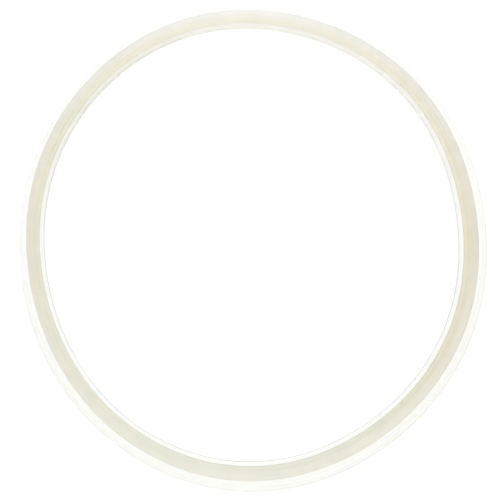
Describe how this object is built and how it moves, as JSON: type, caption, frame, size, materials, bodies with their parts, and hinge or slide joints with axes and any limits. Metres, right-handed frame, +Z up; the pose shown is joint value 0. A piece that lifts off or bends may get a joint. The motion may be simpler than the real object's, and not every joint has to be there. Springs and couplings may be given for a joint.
{
  "type": "pressure cooker sealing ring",
  "caption": "Relaxed silicone sealing ring for a stovetop pressure cooker: beaded inner lip, broad flat top band and a wall that flares to its foot.",
  "frame": {"origin": "middle of the ring, on the plane its foot rests on", "axes": "+Z up out of the foot along the ring's axis, +Y along the long direction of the slightly oval relaxed ring"},
  "size_m": [0.2342, 0.2458, 0.012],
  "materials": {
    "silicone": "milky translucent ivory silicone, satin moulded skin"
  },
  "bodies": {
    "root": {"sealing_ring": "silicone"}
  },
  "joints": []
}
